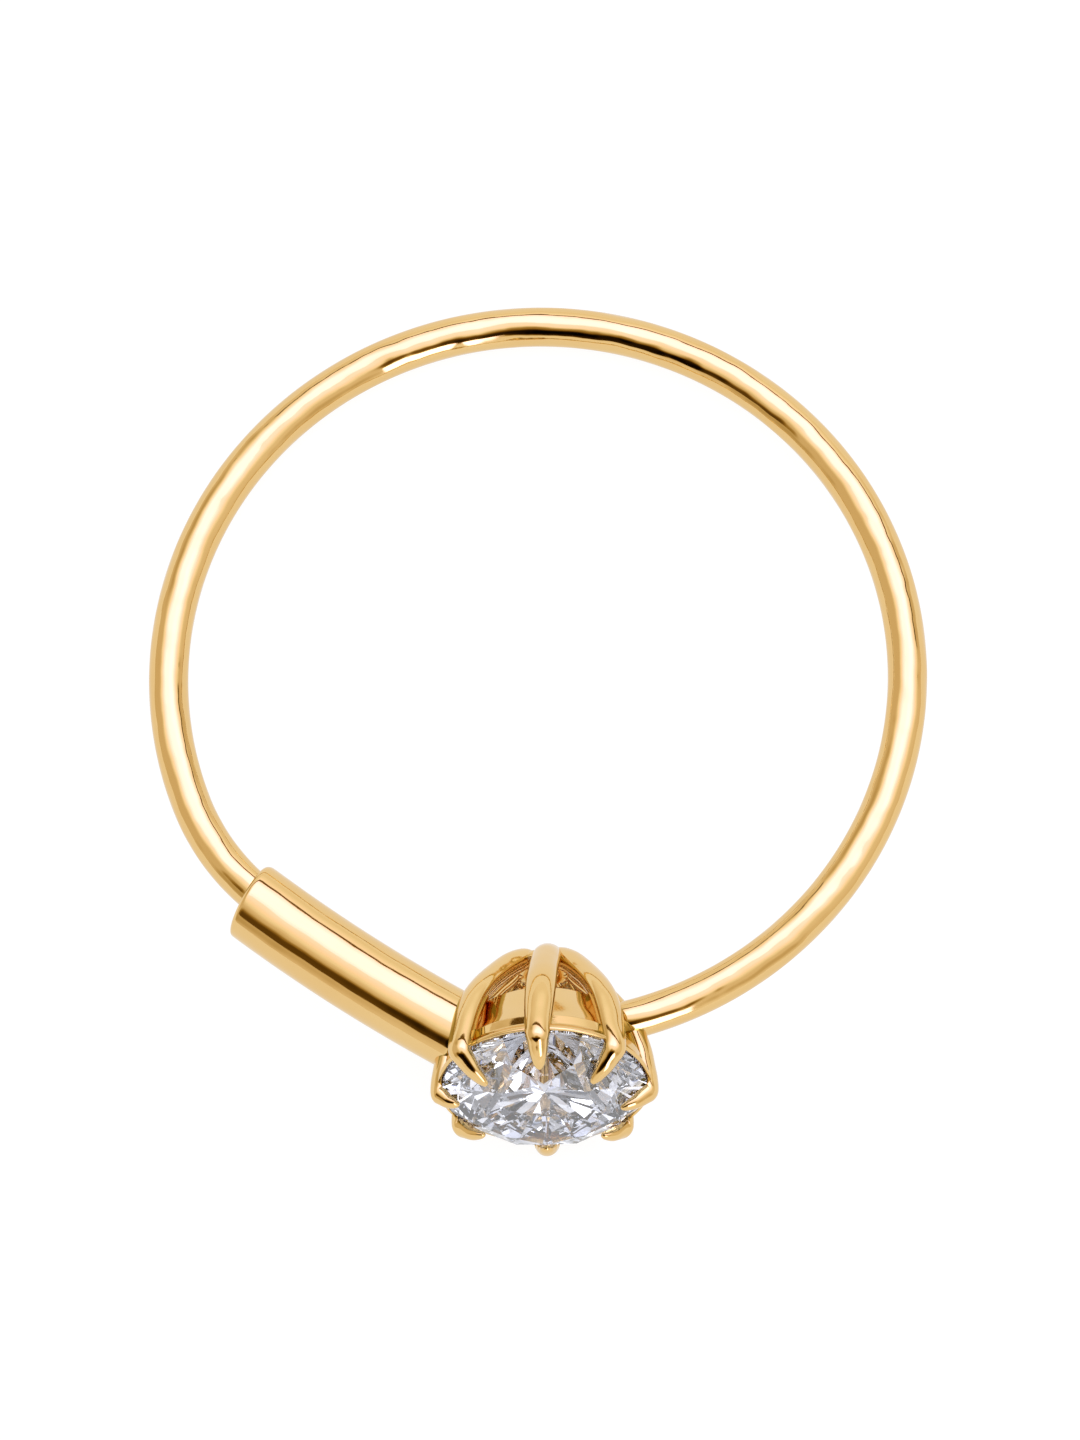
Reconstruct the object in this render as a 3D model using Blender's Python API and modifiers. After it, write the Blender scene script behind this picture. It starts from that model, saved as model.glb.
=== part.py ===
"""Nose ring, lying on its back as it rests on a flat surface.

A round wire springs into a short tube catch beside the stone. Wire, catch and claw setting are
soldered into one piece of metal, and a round brilliant sits loose in the seat of the claws.

The pieces are modelled with the hoop flat in XY, its centre at the origin and the stone towards -Y.
An empty then turns and lifts them together to the position of rest.
"""

import math

import bmesh
import bpy
from mathutils import Matrix, Vector

MM = 0.001

# Hoop wire
HOOP_RADIUS = 6.08 * MM
WIRE_RADIUS = 0.325 * MM
WIRE_SIDES = 12
WIRE_STEPS = 88

# Tube catch
CATCH_RADIUS = 0.65 * MM
CATCH_WALL = 0.14 * MM
CATCH_MOUTH_ANGLE = math.radians(52.7)
CATCH_BEND_RADIUS = 28.0 * MM
CATCH_RIM_ROUND = 0.07 * MM
CATCH_MOUTH_SLANT = math.radians(10.0)
CATCH_SIDES = 20
CATCH_STEPS = 10
BORE_DEPTH = 2.6 * MM
WIRE_IN_BORE = 1.8 * MM
WIRE_CLEARANCE = 0.03 * MM
SPRING_ANGLE = math.radians(17.0)

# Round brilliant
STONE_RADIUS = 1.66 * MM
TABLE_SHARE = 0.56
STAR_SHARE = 0.5
LOWER_HALF_SHARE = 0.78
CROWN_ANGLE = math.radians(34.3)
PAVILION_ANGLE = math.radians(40.7)
GIRDLE_THICKNESS = 0.10 * MM
FACETS_ROUND = 8

# Setting
SETTING_LEAN = math.radians(16.6)
GIRDLE_RISE = 1.05 * MM
SETTING_DEPTH = 2.45 * MM
CLAW_OVERHANG = 0.20 * MM
CLAW_WIDTH = 0.50 * MM
CLAW_THICKNESS = 0.40 * MM
TIP_REACH = 0.60 * MM
CLAW_SIDES = 12
BAND_WALL = 0.25 * MM
BAND_INSET = 0.10 * MM
BAND_TAPER = 0.31 * MM
BAND_TOP_DROP = 0.35 * MM
BAND_HEIGHT = 0.76 * MM
RAIL_STEP = 0.06 * MM
RAIL_HEIGHT = 0.18 * MM
LIP_WALL = 0.04 * MM
LIP_TOP = 0.01 * MM
LIP_DROP = 0.05 * MM
STONE_CLEARANCE = 0.04 * MM
TURNED_STEPS = 48

# Outer line of a claw below the girdle, from its foot up.
# Columns: reach from the axis, depth under the girdle, width, thickness, each a share of its named size
CLAW_RIB = (
    (0.15, 1.00, 0.86, 0.80),
    (0.28, 0.985, 0.92, 0.90),
    (0.41, 0.92, 0.94, 1.00),
    (0.54, 0.82, 0.96, 1.00),
    (0.74, 0.63, 1.00, 1.00),
    (0.87, 0.46, 1.02, 1.00),
    (0.94, 0.29, 1.00, 1.00),
    (0.98, 0.12, 0.96, 0.95),
    (1.00, 0.01, 0.90, 0.90),
)

# The same line where the claw folds over the crown.
# Columns: way in along the tip's reach, rise over the crown as a share of the thickness, width, thickness
CLAW_TIP = (
    (0.03, 0.26, 0.80, 0.85),
    (0.22, 0.56, 0.68, 0.75),
    (0.53, 0.63, 0.54, 0.55),
    (0.84, 0.45, 0.36, 0.35),
    (1.00, 0.31, 0.20, 0.24),
)

# One row for each claw, from the front one round towards +X.
# Columns: degrees off its even place, sideways set of its foot as a share of its width, length of its tip
CLAWS = (
    (-2.5, 0.22, 1.0),
    (-1.5, 0.0, 1.25),
    (3.0, 0.0, 1.0),
    (-1.0, 0.0, 1.0),
    (0.0, 0.0, 1.0),
    (7.0, 0.0, 1.0),
    (-1.0, 0.0, 0.75),
    (-2.0, 0.0, 1.0),
)

GOLD_DENSITY = 13.1e3
STONE_DENSITY = 5.8e3

GOLD_COLOUR = (0.76, 0.50, 0.18, 1.0)
STONE_COLOUR = (0.93, 0.94, 0.98, 1.0)
MERGE = 1e-8


def clear_scene():
    for obj in list(bpy.data.objects):
        bpy.data.objects.remove(obj, do_unlink=True)


def new_collection(name):
    collection = bpy.data.collections.new(name)
    bpy.context.scene.collection.children.link(collection)
    return collection


def material(name, colour, roughness, metallic):
    made = bpy.data.materials.new(name)
    made.use_nodes = True
    shader = made.node_tree.nodes["Principled BSDF"]
    shader.inputs["Base Color"].default_value = colour
    shader.inputs["Roughness"].default_value = roughness
    shader.inputs["Metallic"].default_value = metallic
    return made


def mesh_object(name, bm, collection, parent):
    mesh = bpy.data.meshes.new(name)
    bm.to_mesh(mesh)
    bm.free()
    mesh.shade_smooth()
    mesh.set_sharp_from_angle(angle=math.radians(40.0))
    obj = bpy.data.objects.new(name, mesh)
    collection.objects.link(obj)
    obj.parent = parent
    return obj


def hide_helper(obj):
    obj.hide_render = True
    obj.display_type = "WIRE"


def swept_tube(name, route, radius, sides, collection, parent):
    """A round tube along route, a list of (point, share of the radius), as a closed mesh."""
    curve = bpy.data.curves.new(name, "CURVE")
    curve.dimensions = "3D"
    curve.bevel_depth = radius
    curve.bevel_resolution = sides // 2 - 2
    curve.use_fill_caps = True
    spline = curve.splines.new("POLY")
    spline.points.add(len(route) - 1)
    for place, (point, share) in zip(spline.points, route):
        place.co = (*point, 1.0)
        place.radius = share
    guide = bpy.data.objects.new(name + "_route", curve)
    collection.objects.link(guide)
    graph = bpy.context.evaluated_depsgraph_get()
    swept = bpy.data.meshes.new_from_object(guide.evaluated_get(graph))
    bpy.data.objects.remove(guide, do_unlink=True)
    bm = bmesh.new()
    bm.from_mesh(swept)
    bpy.data.meshes.remove(swept)
    bmesh.ops.remove_doubles(bm, verts=bm.verts, dist=MERGE)
    bmesh.ops.recalc_face_normals(bm, faces=bm.faces)
    return mesh_object(name, bm, collection, parent)


def turned(name, profile, collection, parent):
    """A profile of (radius, height) points turned about the object's own Z axis, closed unless it ends there."""
    bm = bmesh.new()
    corners = [bm.verts.new((radius, 0.0, height)) for radius, height in profile]
    for first, second in zip(corners, corners[1:]):
        bm.edges.new((first, second))
    if profile[0][0] > 0:
        bm.edges.new((corners[-1], corners[0]))
    obj = mesh_object(name, bm, collection, parent)
    screw = obj.modifiers.new("Turn", "SCREW")
    screw.axis = "Z"
    screw.steps = TURNED_STEPS
    screw.render_steps = TURNED_STEPS
    screw.use_merge_vertices = True
    screw.merge_threshold = MERGE
    return obj


def boolean(obj, other, operation):
    modifier = obj.modifiers.new(operation.title() + " " + other.name, "BOOLEAN")
    modifier.operation = operation
    modifier.object = other
    modifier.solver = "MANIFOLD"


def hoop_point(angle, radius=HOOP_RADIUS):
    """A point of the hoop's circle, by its angle from -Y towards -X."""
    return Vector((-radius * math.sin(angle), -radius * math.cos(angle), 0.0))


def claw_reach():
    return STONE_RADIUS + CLAW_OVERHANG


def band_radii():
    """The gallery band's outer radius at its top, inside the girdle's, and at its bottom."""
    top = STONE_RADIUS - BAND_INSET
    return top, top - BAND_TAPER


def solder_reach():
    """How far from the setting's axis the wire and the catch end, inside a claw."""
    return band_radii()[1] + BAND_WALL / 2


def catch_arc():
    """Centre of the catch's bend, the angle at its mouth and the angle that it turns through."""
    mouth = hoop_point(CATCH_MOUTH_ANGLE)
    seat = Vector((-solder_reach(), -HOOP_RADIUS, 0.0))
    chord = seat - mouth
    rise = math.sqrt(CATCH_BEND_RADIUS**2 - (chord.length / 2) ** 2)
    inward = Vector((-chord.y, chord.x, 0.0)).normalized()
    centre = (mouth + seat) / 2 + inward * rise
    start = mouth - centre
    turn = 2 * math.asin(chord.length / 2 / CATCH_BEND_RADIUS)
    return centre, math.atan2(start.y, start.x), turn


def catch_point(along, aside=0.0):
    """A point at a length along the catch from its mouth, moved aside towards the hoop's centre."""
    centre, start, _ = catch_arc()
    angle = start + along / CATCH_BEND_RADIUS
    radius = CATCH_BEND_RADIUS - aside
    return centre + radius * Vector((math.cos(angle), math.sin(angle), 0.0))


def slanted_start(along):
    """A point just behind the mouth, set so that the mouth's face leans by its slant."""
    mouth = catch_point(0.0)
    ahead = catch_point(along) - mouth
    return mouth + Matrix.Rotation(CATCH_MOUTH_SLANT, 3, "Z") @ ahead


def make_catch(collection, parent):
    _, _, turn = catch_arc()
    length = turn * CATCH_BEND_RADIUS
    route = []
    for turned_share in (0.0, 0.5, 1.0):
        corner = turned_share * math.pi / 2
        along = CATCH_RIM_ROUND * (1 - math.cos(corner))
        share = 1 - CATCH_RIM_ROUND * (1 - math.sin(corner)) / CATCH_RADIUS
        route.append((slanted_start(along), share))
    first = 2 * CATCH_RIM_ROUND
    for step in range(CATCH_STEPS + 1):
        route.append((catch_point(first + (length - first) * step / CATCH_STEPS), 1.0))
    catch = swept_tube("catch", route, CATCH_RADIUS, CATCH_SIDES, collection, parent)

    bore_route = [(catch_point(-CATCH_RADIUS), 1.0)]
    for step in range(CATCH_STEPS + 1):
        bore_route.append((catch_point(BORE_DEPTH * step / CATCH_STEPS), 1.0))
    bore_radius = CATCH_RADIUS - CATCH_WALL
    bore = swept_tube("bore", bore_route, bore_radius, CATCH_SIDES, collection, parent)
    boolean(catch, bore, "DIFFERENCE")
    hide_helper(bore)
    return catch


def make_wire(collection, parent):
    """The wire, from its soldered end right round the hoop to its free end inside the catch."""
    play = CATCH_RADIUS - CATCH_WALL - WIRE_RADIUS - WIRE_CLEARANCE
    entry = catch_point(0.0, play)
    entry_angle = math.atan2(-entry.x, -entry.y)
    squeeze = HOOP_RADIUS - entry.length
    soldered = -math.asin(solder_reach() / HOOP_RADIUS)
    sweep = 2 * math.pi - entry_angle + soldered
    route = []
    for step in range(WIRE_STEPS + 1):
        angle = soldered - sweep * step / WIRE_STEPS
        left = sweep * (1 - step / WIRE_STEPS)
        sprung = max(0.0, 1 - left / SPRING_ANGLE)
        route.append((hoop_point(angle, HOOP_RADIUS - squeeze * sprung**2), 1.0))
    for step in (1, 2, 3, 4):
        share = step / 4
        route.append((catch_point(WIRE_IN_BORE * share, play * (1 - 2 * share)), 1.0))
    return swept_tube("wire", route, WIRE_RADIUS, WIRE_SIDES, collection, parent)


def crown_surface(reach):
    """Height of the crown over the girdle's middle, at a distance from the axis."""
    return GIRDLE_THICKNESS / 2 + max(0.0, STONE_RADIUS - reach) * math.tan(CROWN_ANGLE)


def claw_rows(tip_length):
    """(reach, height over the girdle's middle, width, thickness) along a claw's outer line."""
    rows = [(r * claw_reach(), -d * SETTING_DEPTH, w, t) for r, d, w, t in CLAW_RIB]
    for inset, rise, width, thickness in CLAW_TIP:
        reach = claw_reach() - inset * TIP_REACH * tip_length
        rows.append((reach, crown_surface(reach) + rise * CLAW_THICKNESS, width, thickness))
    return rows


def make_claw(name, azimuth, foot_set, tip_length, collection, parent):
    """One claw, lofted along its outer line from the foot to the tip that folds over the crown."""
    rows = claw_rows(tip_length)
    outward = Vector((math.sin(azimuth), math.cos(azimuth), 0.0))
    sideways = Vector((math.cos(azimuth), -math.sin(azimuth), 0.0))
    line = []
    for reach, height, _, _ in rows:
        aside = foot_set * CLAW_WIDTH * max(0.0, -height / SETTING_DEPTH)
        line.append(outward * reach + sideways * aside + Vector((0.0, 0.0, height)))
    bm = bmesh.new()
    rings = []
    for index, (_, _, width, thickness) in enumerate(rows):
        before = line[max(index - 1, 0)]
        after = line[min(index + 1, len(line) - 1)]
        inward = sideways.cross((after - before).normalized()).normalized()
        half_thick = thickness * CLAW_THICKNESS / 2
        half_wide = width * CLAW_WIDTH / 2
        middle = line[index] + inward * half_thick
        ring = []
        for side in range(CLAW_SIDES):
            turn = 2 * math.pi * side / CLAW_SIDES
            offset = -inward * half_thick * math.cos(turn) + sideways * half_wide * math.sin(turn)
            ring.append(bm.verts.new(middle + offset))
        rings.append(ring)
    for lower, upper in zip(rings, rings[1:]):
        for side in range(CLAW_SIDES):
            beside = (side + 1) % CLAW_SIDES
            bm.faces.new((lower[side], lower[beside], upper[beside], upper[side]))
    bm.faces.new(rings[0])
    bm.faces.new(rings[-1])
    bmesh.ops.recalc_face_normals(bm, faces=bm.faces)
    return mesh_object(name, bm, collection, parent)


def make_band(collection, parent):
    """The gallery band behind the claws, with the seat rail a step wider on top and a lip round the girdle."""
    top = -BAND_TOP_DROP
    rail_top = top + RAIL_HEIGHT
    bottom = top - BAND_HEIGHT
    top_radius, bottom_radius = band_radii()
    rail_radius = top_radius + RAIL_STEP
    lip_radius = STONE_RADIUS + STONE_CLEARANCE + LIP_WALL
    profile = (
        (lip_radius, LIP_TOP),
        (lip_radius, -LIP_DROP),
        (rail_radius, rail_top),
        (rail_radius, top),
        (top_radius, top),
        (bottom_radius, bottom),
        (bottom_radius - BAND_WALL, bottom),
        (top_radius - BAND_WALL, top),
        (rail_radius - BAND_WALL, LIP_TOP),
    )
    return turned("hoop", profile, collection, parent)


def make_foot(collection, parent):
    """The boss in which the claws meet."""
    foot = claw_reach() * CLAW_RIB[0][0]
    shoulder = claw_reach() * CLAW_RIB[2][0]
    profile = (
        (0.0, -0.80 * SETTING_DEPTH),
        (shoulder, -0.84 * SETTING_DEPTH),
        (foot, -0.97 * SETTING_DEPTH),
        (0.0, -0.99 * SETTING_DEPTH),
    )
    return turned("foot", profile, collection, parent)


def make_seat(collection, parent):
    """The space that the stone needs, with its clearance, cut out of the claws and the rail."""
    wide = STONE_RADIUS + STONE_CLEARANCE
    half = GIRDLE_THICKNESS / 2 + STONE_CLEARANCE / 2
    crown_slope = math.tan(CROWN_ANGLE)
    pavilion_slope = math.tan(PAVILION_ANGLE)
    above = half + wide * crown_slope
    below = -half - wide * pavilion_slope
    profile = ((0.0, above), (wide, half), (wide, -half), (0.0, below))
    return turned("seat", profile, collection, parent)


def height_on_plane(corners, x, y):
    normal = (corners[1] - corners[0]).cross(corners[2] - corners[0])
    return corners[0].z - (normal.x * (x - corners[0].x) + normal.y * (y - corners[0].y)) / normal.z


def brilliant_side(slope, inner_radius, half_girdle, junction_radius):
    """One side of the stone, as points above its girdle: inner corners, junctions and the girdle's edge."""
    step = math.pi / FACETS_ROUND

    def at(radius, turn, height):
        return Vector((radius * math.sin(turn * step), radius * math.cos(turn * step), height))

    def main_height(radius, turn):
        return half_girdle + (STONE_RADIUS - radius * math.cos(turn * step)) * slope

    points = []
    for number in range(FACETS_ROUND):
        main = 2 * number + 1
        if inner_radius > 0:
            points.append(at(inner_radius, main, main_height(inner_radius, 0)))
        junction = at(junction_radius, main + 1, main_height(junction_radius, 1))
        points.append(junction)
        for side in (0, 2):
            low = at(STONE_RADIUS, main + side, half_girdle)
            high = at(STONE_RADIUS, main + 1, half_girdle)
            edge = at(STONE_RADIUS, main + (1 + side) / 2, 0.0)
            edge.z = height_on_plane((junction, low, high), edge.x, edge.y)
            points += [low, high, edge]
    if inner_radius == 0:
        points.append(Vector((0.0, 0.0, main_height(0.0, 0))))
    return points


def make_stone(collection, parent):
    """Round brilliant, its girdle level with the object's own origin and its table up its own Z axis."""
    table = TABLE_SHARE * STONE_RADIUS
    star = table + (STONE_RADIUS - table) * STAR_SHARE
    half = GIRDLE_THICKNESS / 2
    crown = brilliant_side(math.tan(CROWN_ANGLE), table, half, star)
    lower = STONE_RADIUS * (1 - LOWER_HALF_SHARE)
    pavilion = brilliant_side(math.tan(PAVILION_ANGLE), 0.0, half, lower)
    bm = bmesh.new()
    for point in crown:
        bm.verts.new(point)
    for point in pavilion:
        bm.verts.new((point.x, point.y, -point.z))
    bmesh.ops.remove_doubles(bm, verts=bm.verts, dist=MERGE)
    hull = bmesh.ops.convex_hull(bm, input=bm.verts)
    loose = [item for item in hull["geom_interior"] if isinstance(item, bmesh.types.BMVert)]
    bmesh.ops.delete(bm, geom=loose, context="VERTS")
    bmesh.ops.dissolve_limit(
        bm, angle_limit=math.radians(0.5), verts=bm.verts, edges=bm.edges
    )
    bmesh.ops.recalc_face_normals(bm, faces=bm.faces)
    return mesh_object("stone", bm, collection, parent)


def place_setting(obj):
    """Stands a piece of the setting on the hoop, its own Z axis leaning out to the stone's table."""
    lean = Matrix.Rotation(math.pi / 2 - SETTING_LEAN, 4, "X")
    obj.matrix_basis = (
        Matrix.Translation((0.0, -HOOP_RADIUS, 0.0)) @ lean @ Matrix.Translation((0.0, 0.0, GIRDLE_RISE))
    )


def evaluated_shape(obj, graph):
    """The object's mesh after its modifiers, in world space."""
    mesh = obj.evaluated_get(graph).to_mesh()
    bm = bmesh.new()
    bm.from_mesh(mesh)
    bm.transform(obj.matrix_world)
    return bm


def weighed(bm, density):
    """(mass, mass times centre) of a closed mesh."""
    bmesh.ops.triangulate(bm, faces=bm.faces)
    mass = 0.0
    moment = Vector()
    for face in bm.faces:
        a, b, c = (vert.co for vert in face.verts)
        share = a.dot(b.cross(c)) / 6 * density
        mass += share
        moment += (a + b + c) / 4 * share
    return mass, moment


def resting_matrix(parts):
    """The turn that sets the face of the parts' hull under the centre of mass flat on the floor."""
    graph = bpy.context.evaluated_depsgraph_get()
    hull = bmesh.new()
    mass = 0.0
    moment = Vector()
    for obj, density in parts:
        bm = evaluated_shape(obj, graph)
        for vert in bm.verts:
            hull.verts.new(vert.co)
        part_mass, part_moment = weighed(bm, density)
        mass += part_mass
        moment += part_moment
        bm.free()
    centre = moment / mass
    bmesh.ops.convex_hull(hull, input=hull.verts)
    bmesh.ops.recalc_face_normals(hull, faces=hull.faces)
    below = []
    for face in hull.faces:
        normal = face.normal
        if normal.z > -0.5:
            continue
        foot = centre - normal * normal.dot(centre - face.verts[0].co)
        if bmesh.geometry.intersect_face_point(face, foot):
            below.append((normal.copy(), face.verts[0].co.copy()))
    normal, corner = min(below, key=lambda entry: entry[0].z)
    turn = normal.rotation_difference(Vector((0.0, 0.0, -1.0))).to_matrix().to_4x4()
    corners = [turn @ vert.co for vert in hull.verts]
    hull.free()
    low = Vector([min(point[axis] for point in corners) for axis in range(3)])
    high = Vector([max(point[axis] for point in corners) for axis in range(3)])
    shift = Vector((-(low.x + high.x) / 2, -(low.y + high.y) / 2, -(turn @ corner).z))
    return Matrix.Translation(shift) @ turn


def main():
    clear_scene()
    parts = new_collection("nose_ring")
    helpers = new_collection("cutters")
    frame = bpy.data.objects.new("nose_ring_frame", None)
    parts.objects.link(frame)

    hoop = make_band(parts, frame)
    place_setting(hoop)
    pieces = [make_foot(helpers, frame)]
    for number, (drift, foot_set, tip_length) in enumerate(CLAWS):
        azimuth = 2 * math.pi * number / len(CLAWS) + math.radians(drift)
        name = f"claw_{number + 1}"
        pieces.append(make_claw(name, azimuth, foot_set, tip_length, helpers, frame))
    seat = make_seat(helpers, frame)
    for piece in pieces + [seat]:
        place_setting(piece)
    pieces.append(make_catch(helpers, frame))
    pieces.append(make_wire(helpers, frame))
    for piece in pieces:
        boolean(hoop, piece, "UNION")
        hide_helper(piece)
    boolean(hoop, seat, "DIFFERENCE")
    hide_helper(seat)
    hoop.data.materials.append(material("gold", GOLD_COLOUR, 0.08, 1.0))

    stone = make_stone(parts, frame)
    place_setting(stone)
    stone.data.materials.append(material("clear_stone", STONE_COLOUR, 0.0, 0.0))

    bpy.context.view_layer.update()
    frame.matrix_world = resting_matrix([(hoop, GOLD_DENSITY), (stone, STONE_DENSITY)])
    bpy.context.view_layer.update()


main()
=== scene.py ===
"""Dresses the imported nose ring: drawn wire, tube catch, claw setting and cut stone on a white table."""

import math

import bmesh
import bpy
from bpy.props import FloatProperty, FloatVectorProperty, IntProperty, PointerProperty
from bpy.types import Operator, Panel, PropertyGroup
from mathutils import Matrix, Vector


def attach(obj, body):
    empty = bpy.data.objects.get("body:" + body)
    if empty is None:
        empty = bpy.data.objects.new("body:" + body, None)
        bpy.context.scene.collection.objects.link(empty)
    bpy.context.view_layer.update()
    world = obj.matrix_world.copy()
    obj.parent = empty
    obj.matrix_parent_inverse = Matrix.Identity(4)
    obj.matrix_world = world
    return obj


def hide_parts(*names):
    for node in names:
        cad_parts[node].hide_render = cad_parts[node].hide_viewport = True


bl_info = {
    "name": "Nose Ring with Tube Catch",
    "version": (1, 0, 0),
    "blender": (4, 5, 0),
    "location": "View3D > Sidebar > Nose Ring",
    "description": "Builds a gold nose ring with a claw-set round brilliant, piece by piece",
    "category": "Object",
}

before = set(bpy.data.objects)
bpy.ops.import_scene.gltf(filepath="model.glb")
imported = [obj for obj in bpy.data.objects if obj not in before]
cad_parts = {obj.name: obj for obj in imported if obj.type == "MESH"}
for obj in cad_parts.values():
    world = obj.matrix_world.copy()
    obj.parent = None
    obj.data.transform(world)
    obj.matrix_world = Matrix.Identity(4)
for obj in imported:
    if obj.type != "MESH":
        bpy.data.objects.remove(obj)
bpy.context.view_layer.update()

MM = 0.001

# How the ring lies: the direction in its own frame that points up, and where its hoop's centre is
REST_UP = Vector((0.02034038, -0.09794384, 0.99498397))
REST_CENTRE = Vector((0.0, 0.79291, 0.93132)) * MM

# Outer line of a claw below the girdle, from its foot up.
# Columns: reach from the axis, depth under the girdle, width, thickness, each a share of its named size
CLAW_RIB = (
    (0.15, 1.00, 0.86, 0.80),
    (0.28, 0.985, 0.92, 0.90),
    (0.41, 0.92, 0.94, 1.00),
    (0.54, 0.82, 0.96, 1.00),
    (0.74, 0.63, 1.00, 1.00),
    (0.87, 0.46, 1.02, 1.00),
    (0.94, 0.30, 1.00, 1.00),
    (0.975, 0.15, 0.94, 0.95),
    (0.995, 0.05, 0.88, 0.92),
)

# The same line where the claw folds over the crown.
# Columns: way in along the tip's reach, rise over the crown as a share of the thickness, width, thickness
CLAW_TIP = (
    (0.01, 0.10, 0.84, 0.92),
    (0.10, 0.40, 0.80, 0.86),
    (0.28, 0.60, 0.72, 0.75),
    (0.55, 0.63, 0.58, 0.56),
    (0.84, 0.46, 0.42, 0.38),
    (1.00, 0.31, 0.24, 0.25),
)

# One row for each claw, from the front one round towards +X.
# Columns: degrees off its even place, sideways set of its foot as a share of its width, length of its tip,
# how far its bend stands out past the others as a share of its width
CLAWS = (
    (-2.5, 0.22, 1.05, 0.0),
    (-1.5, 0.0, 1.17, 0.0),
    (3.0, 0.0, 1.0, 0.0),
    (-1.0, 0.0, 1.0, 0.08),
    (0.0, 0.0, 1.0, 0.0),
    (7.0, 0.0, 1.0, 0.08),
    (-1.0, 0.0, 0.75, 0.0),
    (-2.0, 0.0, 1.22, 0.30),
)


AIMED = "How far the camera aims past the hoop's centre, in the picture"


def linear(hex_colour):
    """An sRGB hex colour as linear red, green and blue."""
    parts = [int(hex_colour[place:place + 2], 16) / 255 for place in (1, 3, 5)]
    return tuple(part / 12.92 if part <= 0.04045 else ((part + 0.055) / 1.055) ** 2.4 for part in parts)


def length(name, description, default):
    """A length, its default given in millimetres."""
    return FloatProperty(
        name=name, description=description, default=default * MM, min=0.0, unit="LENGTH", precision=5,
    )


def angle(name, description, default):
    """An angle, its default given in degrees."""
    return FloatProperty(name=name, description=description, default=math.radians(default), unit="ROTATION")


def ratio(name, description, default):
    return FloatProperty(name=name, description=description, default=default, subtype="FACTOR")


def brightness(name, description, default):
    return FloatProperty(name=name, description=description, default=default, min=0.0)


def colour(name, description, default):
    return FloatVectorProperty(
        name=name, description=description, default=linear(default),
        subtype="COLOR", size=3, min=0.0, max=1.0,
    )


class NoseRingWire(PropertyGroup):
    hoop_radius: length("Hoop radius", "From the hoop's centre to the middle of the wire", 6.08)
    radius: length("Wire radius", "Half the thickness of the wire", 0.325)
    spring: angle("Sprung length", "How far from the catch the free end starts to bend inwards", 17.0)
    in_bore: length("Wire in the catch", "How far the free end goes into the catch", 1.8)
    end_round: length("Round of the end", "Length over which the free end tapers to its dome", 0.12)
    steps: IntProperty(name="Steps along", description="Rings of the wire's mesh", default=640, min=40)
    sides: IntProperty(name="Sides", description="Sides of the wire's mesh", default=48, min=8)


class NoseRingCatch(PropertyGroup):
    radius: length("Catch radius", "Outer radius of the tube", 0.65)
    wall: length("Wall", "Thickness of the tube's wall", 0.14)
    mouth: angle("Mouth", "Place of the mouth round the hoop, from the stone", 52.7)
    bend_radius: length("Bend", "Radius to which the tube is bent", 28.0)
    rim_round: length("Rim round", "Radius of the tube's outer rim", 0.10)
    bore_round: length("Bore round", "Radius of the bore's rim", 0.03)
    filed: length("Filed back", "How much the mouth is filed back from the tube's cut end", 0.05)
    slant: angle("Mouth slant", "How far the mouth's face leans", 10.0)
    bore_depth: length("Bore depth", "How deep the tube is bored", 2.6)
    clearance: length("Clearance", "Room between the wire and the bore's wall", 0.03)
    solder: length("Solder run", "How far the soldered ends run on into the setting, domed", 0.35)


class NoseRingStone(PropertyGroup):
    radius: length("Stone radius", "Radius of the girdle", 1.66)
    girdle: length("Girdle", "Thickness of the girdle", 0.10)
    table: ratio("Table", "Width of the table as a share of the stone's", 0.56)
    star: ratio("Star facets", "Reach of the star facets from the table to the girdle", 0.5)
    lower: ratio("Lower girdle facets", "Reach of the lower girdle facets to the culet", 0.86)
    crown: angle("Crown angle", "Slope of the kite facets", 34.3)
    pavilion: angle("Pavilion angle", "Slope of the main facets below", 40.7)
    facets: IntProperty(name="Facets round", description="Kite facets round the crown", default=8, min=4)
    # Over the 2.17 of the real stone, because at the camera's steep angle
    # the gallery would show through the lower side
    index: FloatProperty(
        name="Index of refraction", description="How far light bends in the stone", default=2.7, min=1.0,
    )
    tint: colour("Stone colour", "Tint of the clear stone", "#EFF2FF")
    cloud: colour("Stone colour, clouds", "Tint where the stone is faintly clouded", "#F4F5FF")


class NoseRingSetting(PropertyGroup):
    lean: angle("Lean", "How far the setting leans to the front", 16.6)
    rise: length("Girdle rise", "From the hoop's middle line out to the girdle", 1.05)
    depth: length("Depth", "From the girdle down to the foot", 2.45)
    overhang: length("Claw overhang", "How far the claws stand out past the girdle", 0.20)
    width: length("Claw width", "Full width of a claw", 0.50)
    thickness: length("Claw thickness", "Full thickness of a claw", 0.40)
    tip: length("Tip reach", "How far a claw's tip reaches in over the crown", 0.60)
    band_wall: length("Band wall", "Thickness of the gallery band", 0.25)
    band_inset: length("Band inset", "How far the band's top stands in from the girdle", 0.10)
    band_taper: length("Band taper", "How much narrower the band is at its foot", 0.31)
    band_drop: length("Band drop", "From the girdle down to the band", 0.35)
    band_height: length("Band height", "Height of the band", 0.76)
    rail_step: length("Rail step", "How far the rail stands out from the band", 0.06)
    rail_height: length("Rail height", "Height of the rail", 0.18)
    lip_wall: length("Lip wall", "Thickness of the lip round the girdle", 0.04)
    lip_top: length("Lip top", "How far the lip rises over the girdle's middle", 0.01)
    lip_drop: length("Lip drop", "How far the lip's outside goes down", 0.05)
    clearance: length("Seat clearance", "Room between the stone and its seat", 0.02)
    turned: IntProperty(name="Steps round", description="Steps of the turned pieces", default=224, min=24)


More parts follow.
